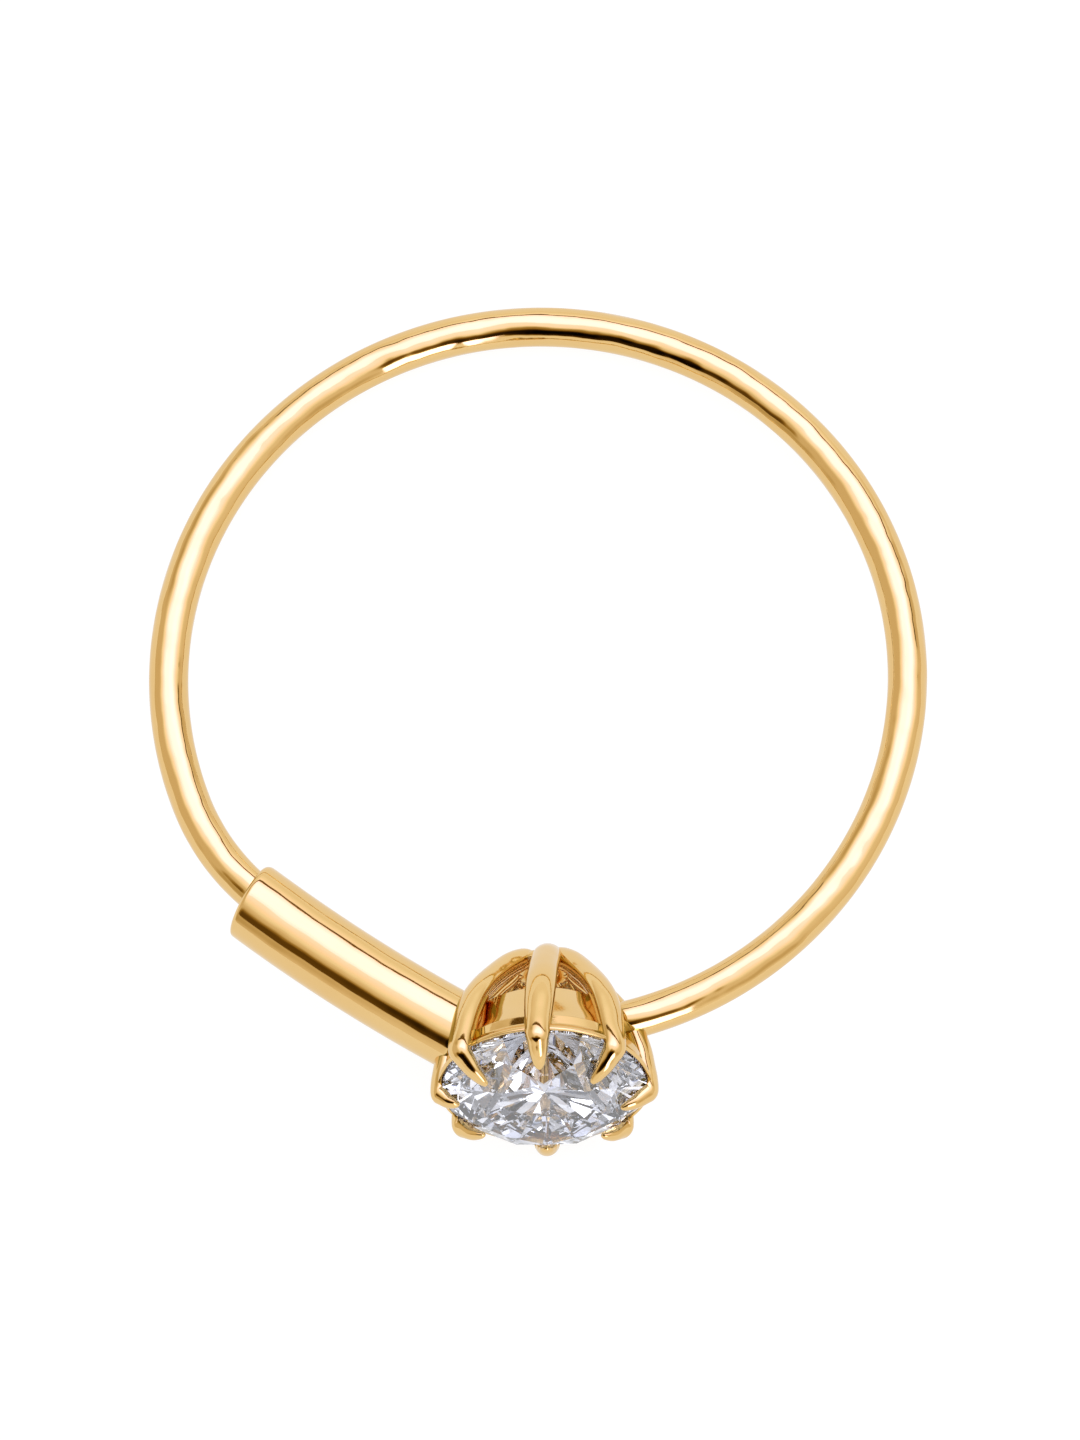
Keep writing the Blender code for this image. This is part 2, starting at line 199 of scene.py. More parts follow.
class NoseRingGold(PropertyGroup):
    face: colour("Gold", "Colour of the polished gold", "#F2D090")
    shade: colour("Gold, deeper", "Colour of the gold where the alloy lies a little deeper", "#EBC380")
    polish: ratio("Roughness", "Roughness of the polished face", 0.045)
    drag: length("Polish marks", "Width of the marks that the polishing left", 0.03)
    swell: length("Swells", "Length of the soft unevenness of the surface", 0.9)


class NoseRingStage(PropertyGroup):
    table_colour: colour("Table", "Colour of the white table, over its own glow", "#6E6E6E")
    table_glow: brightness("Table glow", "Light that comes up through the white table", 0.88)
    table_in_gold: brightness("Table in the gold", "The same glow as the gold reflects it", 0.74)
    table_width: length("Table width", "Width of the table", 1200.0)
    table_drop: length("Table drop", "Room under the ring, so that it doesn't cut the table", 0.005)
    table_light: brightness("Light on the table", "Brightness of the room where it lights matt surfaces", 1.1)
    lens: FloatProperty(name="Lens", description="Focal length of the camera", default=300.0, unit="CAMERA")
    sensor: FloatProperty(
        name="Sensor", description="Longer side of the camera's sensor", default=36.0, unit="CAMERA",
    )
    view_height: length("View height", "Height of the picture at the ring", 23.697)
    view_azimuth: angle("Camera azimuth", "Turn of the camera round the ring", -1.0)
    view_elevation: angle("Camera elevation", "Height of the camera over the table", 78.2)
    view_right: FloatProperty(
        name="View right", description=AIMED, default=0.036 * MM, unit="LENGTH", precision=5,
    )
    view_up: FloatProperty(
        name="View up", description=AIMED, default=-0.723 * MM, unit="LENGTH", precision=5,
    )


def add_node(tree, kind, inputs=(), **settings):
    """One node with its settings. Its inputs, by name or in order, are values, outputs or whole nodes."""
    node = tree.nodes.new(kind)
    for name, value in settings.items():
        setattr(node, name, value)
    for socket, given in inputs.items() if isinstance(inputs, dict) else enumerate(inputs):
        if isinstance(given, bpy.types.Node):
            given = next(output for output in given.outputs if output.enabled)
        if isinstance(given, bpy.types.NodeSocket):
            tree.links.new(given, node.inputs[socket])
        else:
            node.inputs[socket].default_value = given
    return node


def new_material(name):
    """A material with an empty node tree, and that tree."""
    made = bpy.data.materials.new(name)
    made.use_nodes = True
    made.node_tree.nodes.clear()
    return made, made.node_tree


def new_object(name, data):
    """An object in the scene."""
    made = bpy.data.objects.new(name, data)
    bpy.context.scene.collection.objects.link(made)
    return made


def shaded(mesh, sharp_angle):
    """The mesh shaded smooth, with edges that turn by more than an angle in degrees left sharp."""
    mesh.shade_smooth()
    mesh.set_sharp_from_angle(angle=math.radians(sharp_angle))
    return mesh


def new_tree(name, sockets):
    """A geometry node tree with its named inputs and one geometry output."""
    tree = bpy.data.node_groups.new(name, "GeometryNodeTree")
    for label, kind in sockets:
        tree.interface.new_socket(label, in_out="INPUT", socket_type=kind)
    tree.interface.new_socket("Geometry", in_out="OUTPUT", socket_type="NodeSocketGeometry")
    return tree


def grown(source, tree, inputs):
    """The plain mesh that a node tree makes from a source mesh, with its named inputs set."""
    guide = new_object(tree.name, source)
    modifier = guide.modifiers.new(tree.name, "NODES")
    modifier.node_group = tree
    for item in tree.interface.items_tree:
        if item.name in inputs:
            modifier[item.identifier] = inputs[item.name]
    graph = bpy.context.evaluated_depsgraph_get()
    mesh = bpy.data.meshes.new_from_object(guide.evaluated_get(graph))
    guide.modifiers.remove(modifier)
    bpy.data.objects.remove(guide, do_unlink=True)
    if not mesh.polygons:
        raise RuntimeError(f"{tree.name} made no faces")
    return mesh


def rest_matrix():
    turn = REST_UP.rotation_difference(Vector((0.0, 0.0, 1.0))).to_matrix().to_4x4()
    return Matrix.Translation(REST_CENTRE) @ turn


def setting_matrix(wire, setting):
    """From the setting's own frame, girdle at the origin and table up, to the hoop's."""
    lean = Matrix.Rotation(math.pi / 2 - setting.lean, 4, "X")
    out = Matrix.Translation((0.0, -wire.hoop_radius, 0.0))
    return out @ lean @ Matrix.Translation((0.0, 0.0, setting.rise))


def show_piece(name, mesh, place, finish, node):
    """Puts a finished mesh in place at rest and lets it ride with the ring."""
    mesh.transform(rest_matrix() @ place)
    mesh.materials.clear()
    mesh.materials.append(finish)
    piece = new_object(name, mesh)
    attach(piece, "root")
    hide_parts(node)
    return piece


def mesh_of(name, bm, sharp_angle):
    mesh = bpy.data.meshes.new(name)
    bmesh.ops.recalc_face_normals(bm, faces=bm.faces)
    bm.to_mesh(mesh)
    bm.free()
    return shaded(mesh, sharp_angle)


def skin(bm, rings, closed_start, closed_end):
    """Faces between rings of the same number of vertices."""
    for lower, upper in zip(rings, rings[1:]):
        for side, vert in enumerate(lower):
            beside = (side + 1) % len(lower)
            bm.faces.new((vert, lower[beside], upper[beside], upper[side]))
    if closed_start:
        bm.faces.new(rings[0])
    if closed_end:
        bm.faces.new(rings[-1])


def turned_mesh(name, profile, steps, sharp_angle):
    """A closed profile of (radius, height) points turned about the Z axis. Points on the axis make poles."""
    bm = bmesh.new()
    rings = []
    for radius, height in profile:
        if radius == 0.0:
            rings.append([bm.verts.new((0.0, 0.0, height))])
            continue
        ring = []
        for step in range(steps):
            turn = 2 * math.pi * step / steps
            ring.append(bm.verts.new((radius * math.sin(turn), radius * math.cos(turn), height)))
        rings.append(ring)
    pairs = list(zip(rings, rings[1:]))
    if len(rings[0]) > 1 and len(rings[-1]) > 1:
        pairs.append((rings[-1], rings[0]))
    for lower, upper in pairs:
        for step in range(steps):
            beside = (step + 1) % steps
            corners = []
            for ring, place in ((lower, step), (lower, beside), (upper, beside), (upper, step)):
                corner = ring[place % len(ring)]
                if corner not in corners:
                    corners.append(corner)
            bm.faces.new(corners)
    return mesh_of(name, bm, sharp_angle)


def rounded_corners(profile, radius, steps=4):
    """The profile with each corner that is off the axis rounded by arcs of about that radius."""
    made = []
    count = len(profile)
    for index, corner in enumerate(profile):
        here = Vector(corner)
        before = Vector(profile[index - 1])
        after = Vector(profile[(index + 1) % count])
        if here.x == 0.0:
            made.append(corner)
            continue
        back = before - here
        ahead = after - here
        cut = min(radius, 0.45 * back.length, 0.45 * ahead.length)
        start = here + back.normalized() * cut
        end = here + ahead.normalized() * cut
        for step in range(steps + 1):
            share = step / steps
            point = start * (1 - share) ** 2 + here * 2 * share * (1 - share) + end * share ** 2
            made.append((point.x, point.y))
    return made


def smooth_rows(rows, between):
    """Rows of numbers with more rows between them on a smooth curve through all of them."""
    made = []
    for index in range(len(rows) - 1):
        a = rows[max(index - 1, 0)]
        b = rows[index]
        c = rows[index + 1]
        d = rows[min(index + 2, len(rows) - 1)]
        for step in range(between):
            t = step / between
            made.append(tuple(
                0.5 * (
                    2 * q + (r - p) * t + (2 * p - 5 * q + 4 * r - s) * t ** 2
                    + (3 * q - p - 3 * r + s) * t ** 3
                )
                for p, q, r, s in zip(a, b, c, d)
            ))
    made.append(tuple(rows[-1]))
    return made


def hoop_point(turn, radius):
    """A point of the hoop's circle, by its angle from -Y towards -X."""
    return Vector((-radius * math.sin(turn), -radius * math.cos(turn), 0.0))


def band_radii(stone, setting):
    top = stone.radius - setting.band_inset
    return top, top - setting.band_taper


def solder_reach(stone, setting):
    """How far from the setting's axis the wire and the catch end, inside a claw."""
    return band_radii(stone, setting)[1] + setting.band_wall / 2


def catch_line(scene):
    """A function for a point along the catch, or aside towards the hoop's centre, and the catch's length."""
    wire, catch = scene.nose_ring_wire, scene.nose_ring_catch
    mouth = hoop_point(catch.mouth, wire.hoop_radius)
    seat = Vector((-solder_reach(scene.nose_ring_stone, scene.nose_ring_setting), -wire.hoop_radius, 0.0))
    chord = seat - mouth
    rise = math.sqrt(catch.bend_radius ** 2 - (chord.length / 2) ** 2)
    centre = (mouth + seat) / 2 + Vector((-chord.y, chord.x, 0.0)).normalized() * rise
    start = math.atan2((mouth - centre).y, (mouth - centre).x)
    turn = 2 * math.asin(chord.length / 2 / catch.bend_radius)

    def point(along, aside=0.0):
        here = start + along / catch.bend_radius
        return centre + (catch.bend_radius - aside) * Vector((math.cos(here), math.sin(here), 0.0))

    return point, turn * catch.bend_radius


# How far polishing marks are drawn out: along drawn metal, and down a casting
DRAWN_MARKS = (0.06, 1.0, 1.0)
CAST_MARKS = (1.0, 1.0, 0.22)
MARK_HEIGHT = 0.0006 * MM

# Size of the faint clouds in the stone's tint
CLOUD_LENGTH = 1.2 * MM

# The gold finishes: whether the marks run along the piece, and how high its swells are in millimetres
GOLD_FINISHES = {
    "drawn_wire_gold": (True, 0.080),
    "drawn_tube_gold": (True, 0.020),
    "cast_polished_gold": (False, 0.055),
}


def gold_finish(name):
    """Polished 14 carat gold: mirror bright, with faint marks and soft swells that bend its reflections."""
    if name in bpy.data.materials:
        return bpy.data.materials[name]
    gold = bpy.context.scene.nose_ring_gold
    drawn, swell_height = GOLD_FINISHES[name]
    made, tree = new_material(name)
    spot = add_node(tree, "ShaderNodeTexCoord").outputs["Object"]
    lay = add_node(tree, "ShaderNodeAttribute", attribute_name="lay").outputs["Vector"] if drawn else spot
    stretch = DRAWN_MARKS if drawn else CAST_MARKS
    stretched = add_node(tree, "ShaderNodeMapping", {"Vector": lay, "Scale": stretch})
    marks = {"Vector": stretched, "Scale": 1 / gold.drag, "Detail": 3.0, "Roughness": 0.6}
    marks = add_node(tree, "ShaderNodeTexNoise", marks)
    swells = {"Vector": spot, "Scale": 1 / gold.swell, "Detail": 1.5, "Roughness": 0.4}
    swells = add_node(tree, "ShaderNodeTexNoise", swells)
    alloy = {"Vector": spot, "Scale": 1 / (3 * gold.swell), "Detail": 3.0}
    alloy = add_node(tree, "ShaderNodeTexNoise", alloy)
    tone = {"Factor": alloy, "A": (*gold.face, 1.0), "B": (*gold.shade, 1.0)}
    tone = add_node(tree, "ShaderNodeMix", tone, data_type="RGBA")
    rough = add_node(tree, "ShaderNodeMapRange", {
        "Value": marks, "From Min": 0.3, "From Max": 0.75,
        "To Min": 0.7 * gold.polish, "To Max": 1.9 * gold.polish,
    })
    swell_bump = {"Height": swells, "Distance": swell_height * MM, "Strength": 1.0}
    swell_bump = add_node(tree, "ShaderNodeBump", swell_bump)
    mark_bump = {"Height": marks, "Normal": swell_bump, "Distance": MARK_HEIGHT, "Strength": 0.6}
    mark_bump = add_node(tree, "ShaderNodeBump", mark_bump)
    metal = {"Base Color": tone, "Roughness": rough, "Normal": mark_bump, "Metallic": 1.0}
    shader = add_node(tree, "ShaderNodeBsdfPrincipled", metal)
    add_node(tree, "ShaderNodeOutputMaterial", {"Surface": shader})
    return made


def stone_finish():
    """Faceted cubic zirconia: clear, high in refraction, polished to a hard mirror on every facet."""
    stone = bpy.context.scene.nose_ring_stone
    made, tree = new_material("cut_cubic_zirconia")
    spot = add_node(tree, "ShaderNodeTexCoord").outputs["Object"]
    clouds = add_node(tree, "ShaderNodeTexNoise", {"Vector": spot, "Scale": 1 / CLOUD_LENGTH, "Detail": 2.0})
    tone = {"Factor": clouds, "A": (*stone.tint, 1.0), "B": (*stone.cloud, 1.0)}
    tone = add_node(tree, "ShaderNodeMix", tone, data_type="RGBA")
    shader = add_node(
        tree, "ShaderNodeBsdfPrincipled",
        {"Base Color": tone, "Roughness": 0.0, "IOR": stone.index, "Transmission Weight": 1.0},
    )
    add_node(tree, "ShaderNodeOutputMaterial", {"Surface": shader})
    return made


def wire_tree():
    """A round wire swept along the source's edges, its marks laid along it."""
    tree = new_tree("Drawn wire", (
        ("Geometry", "NodeSocketGeometry"),
        ("Wire radius", "NodeSocketFloat"),
        ("Sides", "NodeSocketInt"),
        ("Finish", "NodeSocketMaterial"),
    ))
    given = add_node(tree, "NodeGroupInput").outputs
    route = add_node(tree, "GeometryNodeMeshToCurve", {"Mesh": given["Geometry"]})
    path = add_node(tree, "GeometryNodeCaptureAttribute", {"Geometry": route})
    path.capture_items.new("FLOAT", "along")
    tree.links.new(add_node(tree, "GeometryNodeSplineParameter").outputs["Length"], path.inputs["along"])
    section = add_node(
        tree, "GeometryNodeCurvePrimitiveCircle",
        {"Radius": given["Wire radius"], "Resolution": given["Sides"]}, mode="RADIUS",
    )
    section = add_node(tree, "GeometryNodeCaptureAttribute", {"Geometry": section})
    section.capture_items.new("FLOAT", "around")
    tree.links.new(add_node(tree, "GeometryNodeSplineParameter").outputs["Factor"], section.inputs["around"])
    taper = add_node(tree, "GeometryNodeInputNamedAttribute", {"Name": "taper"}, data_type="FLOAT")
    swept = {"Curve": path, "Profile Curve": section, "Scale": taper, "Fill Caps": True}
    swept = add_node(tree, "GeometryNodeCurveToMesh", swept)
    # The marks are drawn in metres along the wire and round a circle, so that they close without a seam
    turn = add_node(tree, "ShaderNodeMath", (section.outputs["around"], 2 * math.pi), operation="MULTIPLY")
    sine = add_node(tree, "ShaderNodeMath", (turn,), operation="SINE")
    cosine = add_node(tree, "ShaderNodeMath", (turn,), operation="COSINE")
    across = add_node(tree, "ShaderNodeMath", (sine, given["Wire radius"]), operation="MULTIPLY")
    upward = add_node(tree, "ShaderNodeMath", (cosine, given["Wire radius"]), operation="MULTIPLY")
    lay = add_node(tree, "ShaderNodeCombineXYZ", (path.outputs["along"], across, upward))
    marked = add_node(
        tree, "GeometryNodeStoreNamedAttribute", {"Geometry": swept, "Name": "lay", "Value": lay},
        data_type="FLOAT_VECTOR", domain="POINT",
    )
    real = add_node(tree, "GeometryNodeRealizeInstances", {"Geometry": marked})
    coated = add_node(tree, "GeometryNodeSetMaterial", {"Geometry": real, "Material": given["Finish"]})
    add_node(tree, "NodeGroupOutput", {"Geometry": coated})
    return tree


# Steps along the wire in the setting and in the catch, and the least share of its section left at its ends
SOLDER_STEPS = 12
BORE_STEPS = 40
END_SECTION = 0.02


def domed(left):
    """Share of the wire's radius near its end, by the share of the dome still left to the full wire."""
    return math.sqrt(max(END_SECTION, 1 - left ** 2))


class NOSE_RING_OT_wire(Operator):
    """Draws the wire from its soldered end round the hoop to its free end in the catch"""

    bl_idname = "nose_ring.wire"
    bl_label = "Hoop Wire"

    def execute(self, context):
        scene = context.scene
        wire, catch = scene.nose_ring_wire, scene.nose_ring_catch
        catch_point, _ = catch_line(scene)
        play = catch.radius - catch.wall - wire.radius - catch.clearance
        entry = catch_point(0.0, play)
        squeeze = wire.hoop_radius - entry.length
        soldered = -math.asin(solder_reach(scene.nose_ring_stone, scene.nose_ring_setting) / wire.hoop_radius)
        sweep = 2 * math.pi - math.atan2(-entry.x, -entry.y) + soldered
        route = []
        for step in range(SOLDER_STEPS):
            share = step / SOLDER_STEPS
            here = soldered + catch.solder * (1 - share) / wire.hoop_radius
            route.append((hoop_point(here, wire.hoop_radius), domed(1 - share)))
        for step in range(wire.steps + 1):
            left = sweep * (1 - step / wire.steps)
            sprung = max(0.0, 1 - left / wire.spring)
            here = soldered - sweep * step / wire.steps
            route.append((hoop_point(here, wire.hoop_radius - squeeze * sprung ** 2), 1.0))
        for step in range(1, BORE_STEPS + 1):
            share = step / BORE_STEPS
            left = max(0.0, 1 - (1 - share) * wire.in_bore / wire.end_round)
            route.append((catch_point(wire.in_bore * share, play * (1 - 2 * share)), domed(left)))
        source = bpy.data.meshes.new("wire_route")
        source.from_pydata([point for point, _ in route], [(at, at + 1) for at in range(len(route) - 1)], [])
        taper = source.attributes.new("taper", "FLOAT", "POINT")
        taper.data.foreach_set("value", [share for _, share in route])
        finish = gold_finish("drawn_wire_gold")
        mesh = grown(source, wire_tree(), {"Wire radius": wire.radius, "Sides": wire.sides, "Finish": finish})
        show_piece("wire", shaded(mesh, 60.0), Matrix(), finish, "hoop")
        return {"FINISHED"}


# Steps along the catch's domed end, its outside, its rim and its bore, and the points round it
DOME_STEPS = 16
TUBE_STEPS = 80
RIM_STEPS = 8
DEPTH_STEPS = 30
TUBE_SIDES = 96

# How far in from the mouth its slant fades out
SLANT_FADES = 0.5 * MM


class NOSE_RING_OT_catch(Operator):
    """Makes the tube catch with its rounded, slanted mouth and its bore"""

    bl_idname = "nose_ring.catch"
    bl_label = "Tube Catch"

    def execute(self, context):
        scene = context.scene
        catch = scene.nose_ring_catch
        point, span = catch_line(scene)
        bore = catch.radius - catch.wall
        start = catch.filed
        stations = []
        # From the domed end in the setting out along the tube to the mouth, then round the rim into the bore
        for step in range(1, DOME_STEPS):
            corner = step / DOME_STEPS * math.pi / 2
            stations.append((span + catch.solder * math.cos(corner), catch.radius * math.sin(corner)))
        for step in range(TUBE_STEPS + 1):
            stations.append((span - (span - start - catch.rim_round) * step / TUBE_STEPS, catch.radius))
        for step in range(1, RIM_STEPS + 1):
            corner = step / RIM_STEPS * math.pi / 2
            across = catch.radius - catch.rim_round * (1 - math.cos(corner))
            stations.append((start + catch.rim_round * (1 - math.sin(corner)), across))
        for step in range(RIM_STEPS + 1):
            corner = step / RIM_STEPS * math.pi / 2
            across = bore + catch.bore_round * (1 - math.sin(corner))
            stations.append((start + catch.bore_round * (1 - math.cos(corner)), across))
        for step in range(1, DEPTH_STEPS + 1):
            inner = start + catch.bore_round
            stations.append((inner + (catch.bore_depth - inner) * step / DEPTH_STEPS, bore))
        bm = bmesh.new()
        lay = bm.verts.layers.float_vector.new("lay")
        rings = []
        for along, radius in stations:
            centre = point(along)
            tangent = (point(along + 0.01 * MM) - point(along - 0.01 * MM)).normalized()
            straight = min(1.0, along / SLANT_FADES)
            leaning = Matrix.Rotation(catch.slant * (1 - straight) ** 2, 3, "Z") @ tangent
            aside = leaning.cross(Vector((0.0, 0.0, 1.0))).normalized()
            ring = []
            for side in range(TUBE_SIDES):
                turn = 2 * math.pi * side / TUBE_SIDES
                outward = aside * math.cos(turn) + Vector((0.0, 0.0, math.sin(turn)))
                vert = bm.verts.new(centre + radius * outward)
                vert[lay] = (along, radius * math.cos(turn), radius * math.sin(turn))
                ring.append(vert)
            rings.append(ring)
        skin(bm, rings, True, True)
        mesh = mesh_of("catch", bm, 50.0)
        show_piece("catch", mesh, Matrix(), gold_finish("drawn_tube_gold"), "hoop")
        return {"FINISHED"}


def crown_surface(reach, stone):
    """Height of the crown over the girdle's middle, at a distance from the axis."""
    return stone.girdle / 2 + max(0.0, stone.radius - reach) * math.tan(stone.crown)


# Points round a claw, rows made for each given one, and how far its tip's dome stands out, in half widths
CLAW_SIDES = 28
CLAW_BETWEEN = 6
TIP_DOME = (0.5, 0.2)


def claw_mesh(stone, setting):
    """One claw in the YZ plane. Its points keep how far they lie along the tip and down towards the foot."""
    claw_reach = stone.radius + setting.overhang
    rows = []
    for reach, drop, wide, thick in CLAW_RIB:
        rows.append((reach * claw_reach, -drop * setting.depth, wide, thick, 0.0))
    for inset, rise, wide, thick in CLAW_TIP:
        reach = claw_reach - inset * setting.tip
        height = crown_surface(reach, stone) + rise * setting.thickness
        rows.append((reach, height, wide, thick, inset * setting.tip))
    rows = smooth_rows(rows, CLAW_BETWEEN)
    bm = bmesh.new()
    tip = bm.verts.layers.float.new("tip_inset")
    foot = bm.verts.layers.float.new("foot_share")
    rings = []
    aside = Vector((1.0, 0.0, 0.0))
    for index, (reach, height, wide, thick, inset) in enumerate(rows):
        before = rows[max(index - 1, 0)]
        after = rows[min(index + 1, len(rows) - 1)]
        tangent = Vector((0.0, after[0] - before[0], after[1] - before[1])).normalized()
        inward = aside.cross(tangent).normalized()
        half_thick = thick * setting.thickness / 2
        half_wide = wide * setting.width / 2
        middle = Vector((0.0, reach, height)) + inward * half_thick
        ring = []
        for side in range(CLAW_SIDES):
            turn = 2 * math.pi * side / CLAW_SIDES
            outward = middle - inward * half_thick * math.cos(turn)
            vert = bm.verts.new(outward + aside * half_wide * math.sin(turn))
            vert[tip] = inset
            vert[foot] = max(0.0, -height / setting.depth)
            ring.append(vert)
        rings.append(ring)
    # The tip ends in a small dome
    last = rows[-1]
    end = Vector((0.0, last[0], last[1])) + inward * half_thick + tangent * TIP_DOME[0] * half_wide
    dome = []
    for vert in rings[-1]:
        new = bm.verts.new((vert.co + end) / 2 + tangent * TIP_DOME[1] * half_wide)
        new[tip] = last[4]
        dome.append(new)
    rings.append(dome)
    skin(bm, rings, True, True)
    return mesh_of("claw", bm, 60.0)


def claws_tree():
    """Sets the claw at each source point and turns it, its foot set aside and its tip longer or shorter."""
    tree = new_tree("Claws", (
        ("Geometry", "NodeSocketGeometry"),
        ("Claw", "NodeSocketObject"),
        ("Claw width", "NodeSocketFloat"),
        ("Crown slope", "NodeSocketFloat"),
        ("Finish", "NodeSocketMaterial"),
    ))
    given = add_node(tree, "NodeGroupInput").outputs
    read = {
        name: add_node(tree, "GeometryNodeInputNamedAttribute", {"Name": name}, data_type="FLOAT")
        for name in ("turn", "foot_set", "tip_length", "stand_out", "tip_inset", "foot_share")
    }
    claw = add_node(tree, "GeometryNodeObjectInfo", {"Object": given["Claw"]}).outputs["Geometry"]
    back = add_node(tree, "ShaderNodeMath", (read["turn"], -1.0), operation="MULTIPLY")
    facing = add_node(tree, "ShaderNodeCombineXYZ", {"Z": back})
    facing = add_node(tree, "FunctionNodeEulerToRotation", {"Euler": facing})
    set_round = {"Points": given["Geometry"], "Instance": claw, "Rotation": facing}
    set_round = add_node(tree, "GeometryNodeInstanceOnPoints", set_round)
    real = add_node(tree, "GeometryNodeRealizeInstances", {"Geometry": set_round})
    sine = add_node(tree, "ShaderNodeMath", (read["turn"],), operation="SINE")
    cosine = add_node(tree, "ShaderNodeMath", (read["turn"],), operation="COSINE")
    minus_sine = add_node(tree, "ShaderNodeMath", (sine, -1.0), operation="MULTIPLY")
    sideways = add_node(tree, "ShaderNodeCombineXYZ", (cosine, minus_sine))
    outward = add_node(tree, "ShaderNodeCombineXYZ", (sine, cosine))
    width = given["Claw width"]
    # The foot goes aside in full and the bend not at all
    set_aside = add_node(tree, "ShaderNodeMath", (read["foot_set"], width), operation="MULTIPLY")
    set_aside = add_node(tree, "ShaderNodeMath", (set_aside, read["foot_share"]), operation="MULTIPLY")
    shift = {"Vector": sideways, "Scale": set_aside}
    shift = add_node(tree, "ShaderNodeVectorMath", shift, operation="SCALE")
    # The bend stands out in full and the foot not at all, and a longer tip reaches inwards
    longer = add_node(tree, "ShaderNodeMath", (read["tip_length"], 1.0), operation="SUBTRACT")
    longer = add_node(tree, "ShaderNodeMath", (longer, read["tip_inset"]), operation="MULTIPLY")
    above_foot = add_node(tree, "ShaderNodeMath", (1.0, read["foot_share"]), operation="SUBTRACT")
    standing = add_node(tree, "ShaderNodeMath", (read["stand_out"], width), operation="MULTIPLY")
    standing = add_node(tree, "ShaderNodeMath", (standing, above_foot), operation="MULTIPLY")
    reach = add_node(tree, "ShaderNodeMath", (standing, longer), operation="SUBTRACT")
    reach = add_node(tree, "ShaderNodeVectorMath", {"Vector": outward, "Scale": reach}, operation="SCALE")
    shift = add_node(tree, "ShaderNodeVectorMath", (shift, reach), operation="ADD")
    # It climbs the crown as it goes
    climb = add_node(tree, "ShaderNodeMath", (longer, given["Crown slope"]), operation="MULTIPLY")
    climb = add_node(tree, "ShaderNodeCombineXYZ", {"Z": climb})
    shift = add_node(tree, "ShaderNodeVectorMath", (shift, climb), operation="ADD")
    placed = add_node(tree, "GeometryNodeSetPosition", {"Geometry": real, "Offset": shift})
    coated = add_node(tree, "GeometryNodeSetMaterial", {"Geometry": placed, "Material": given["Finish"]})
    add_node(tree, "NodeGroupOutput", {"Geometry": coated})
    return tree


def cut_seat(mesh, stone, setting):
    """The mesh with the stone's space, and a little room, cut out of it."""
    wide = stone.radius + setting.clearance
    half = stone.girdle / 2 + setting.clearance / 2
    profile = (
        (0.0, half + wide * math.tan(stone.crown)),
        (wide, half),
        (wide, -half),
        (0.0, -half - wide * math.tan(stone.pavilion)),
    )
    cutter = new_object("seat", turned_mesh("seat", profile, setting.turned, 30.0))
    body = new_object("cut", mesh)
    modifier = body.modifiers.new("Seat", "BOOLEAN")
    modifier.operation = "DIFFERENCE"
    modifier.solver = "EXACT"
    modifier.object = cutter
    graph = bpy.context.evaluated_depsgraph_get()
    made = bpy.data.meshes.new_from_object(body.evaluated_get(graph))
    bpy.data.objects.remove(body, do_unlink=True)
    bpy.data.objects.remove(cutter, do_unlink=True)
    if not made.polygons:
        raise RuntimeError("the seat cut away the whole piece")
    return made


class NOSE_RING_OT_claws(Operator):
    """Sets the eight claws round the stone and cuts the stone's seat in them"""

    bl_idname = "nose_ring.claws"
    bl_label = "Claws"

    def execute(self, context):
        scene = context.scene
        wire, stone, setting = scene.nose_ring_wire, scene.nose_ring_stone, scene.nose_ring_setting
        claw = new_object("claw_pattern", claw_mesh(stone, setting))
        source = bpy.data.meshes.new("claw_places")
        source.from_pydata([(0.0, 0.0, 0.0)] * len(CLAWS), [], [])
        turns = [2 * math.pi * number / len(CLAWS) + math.radians(row[0]) for number, row in enumerate(CLAWS)]
        _, foot_set, tip_length, stand_out = zip(*CLAWS)
        columns = {"turn": turns, "foot_set": foot_set, "tip_length": tip_length, "stand_out": stand_out}
        for name, values in columns.items():
            source.attributes.new(name, "FLOAT", "POINT").data.foreach_set("value", values)
        finish = gold_finish("cast_polished_gold")
        inputs = {
            "Claw": claw, "Claw width": setting.width,
            "Crown slope": math.tan(stone.crown), "Finish": finish,
        }
        mesh = grown(source, claws_tree(), inputs)
        bpy.data.objects.remove(claw, do_unlink=True)
        mesh = shaded(cut_seat(mesh, stone, setting), 45.0)
        show_piece("claws", mesh, setting_matrix(wire, setting), finish, "hoop")
        return {"FINISHED"}


# The boss from its top round to its foot. Columns: share of the claws' reach, share of the setting's depth
BOSS = (
    (0.0, 0.88),
    (0.20, 0.86),
    (0.34, 0.87),
    (0.30, 0.94),
    (0.15, 0.985),
    (0.0, 0.995),
)
BOSS_ROUND = 0.12 * MM
BAND_ROUND = 0.025 * MM


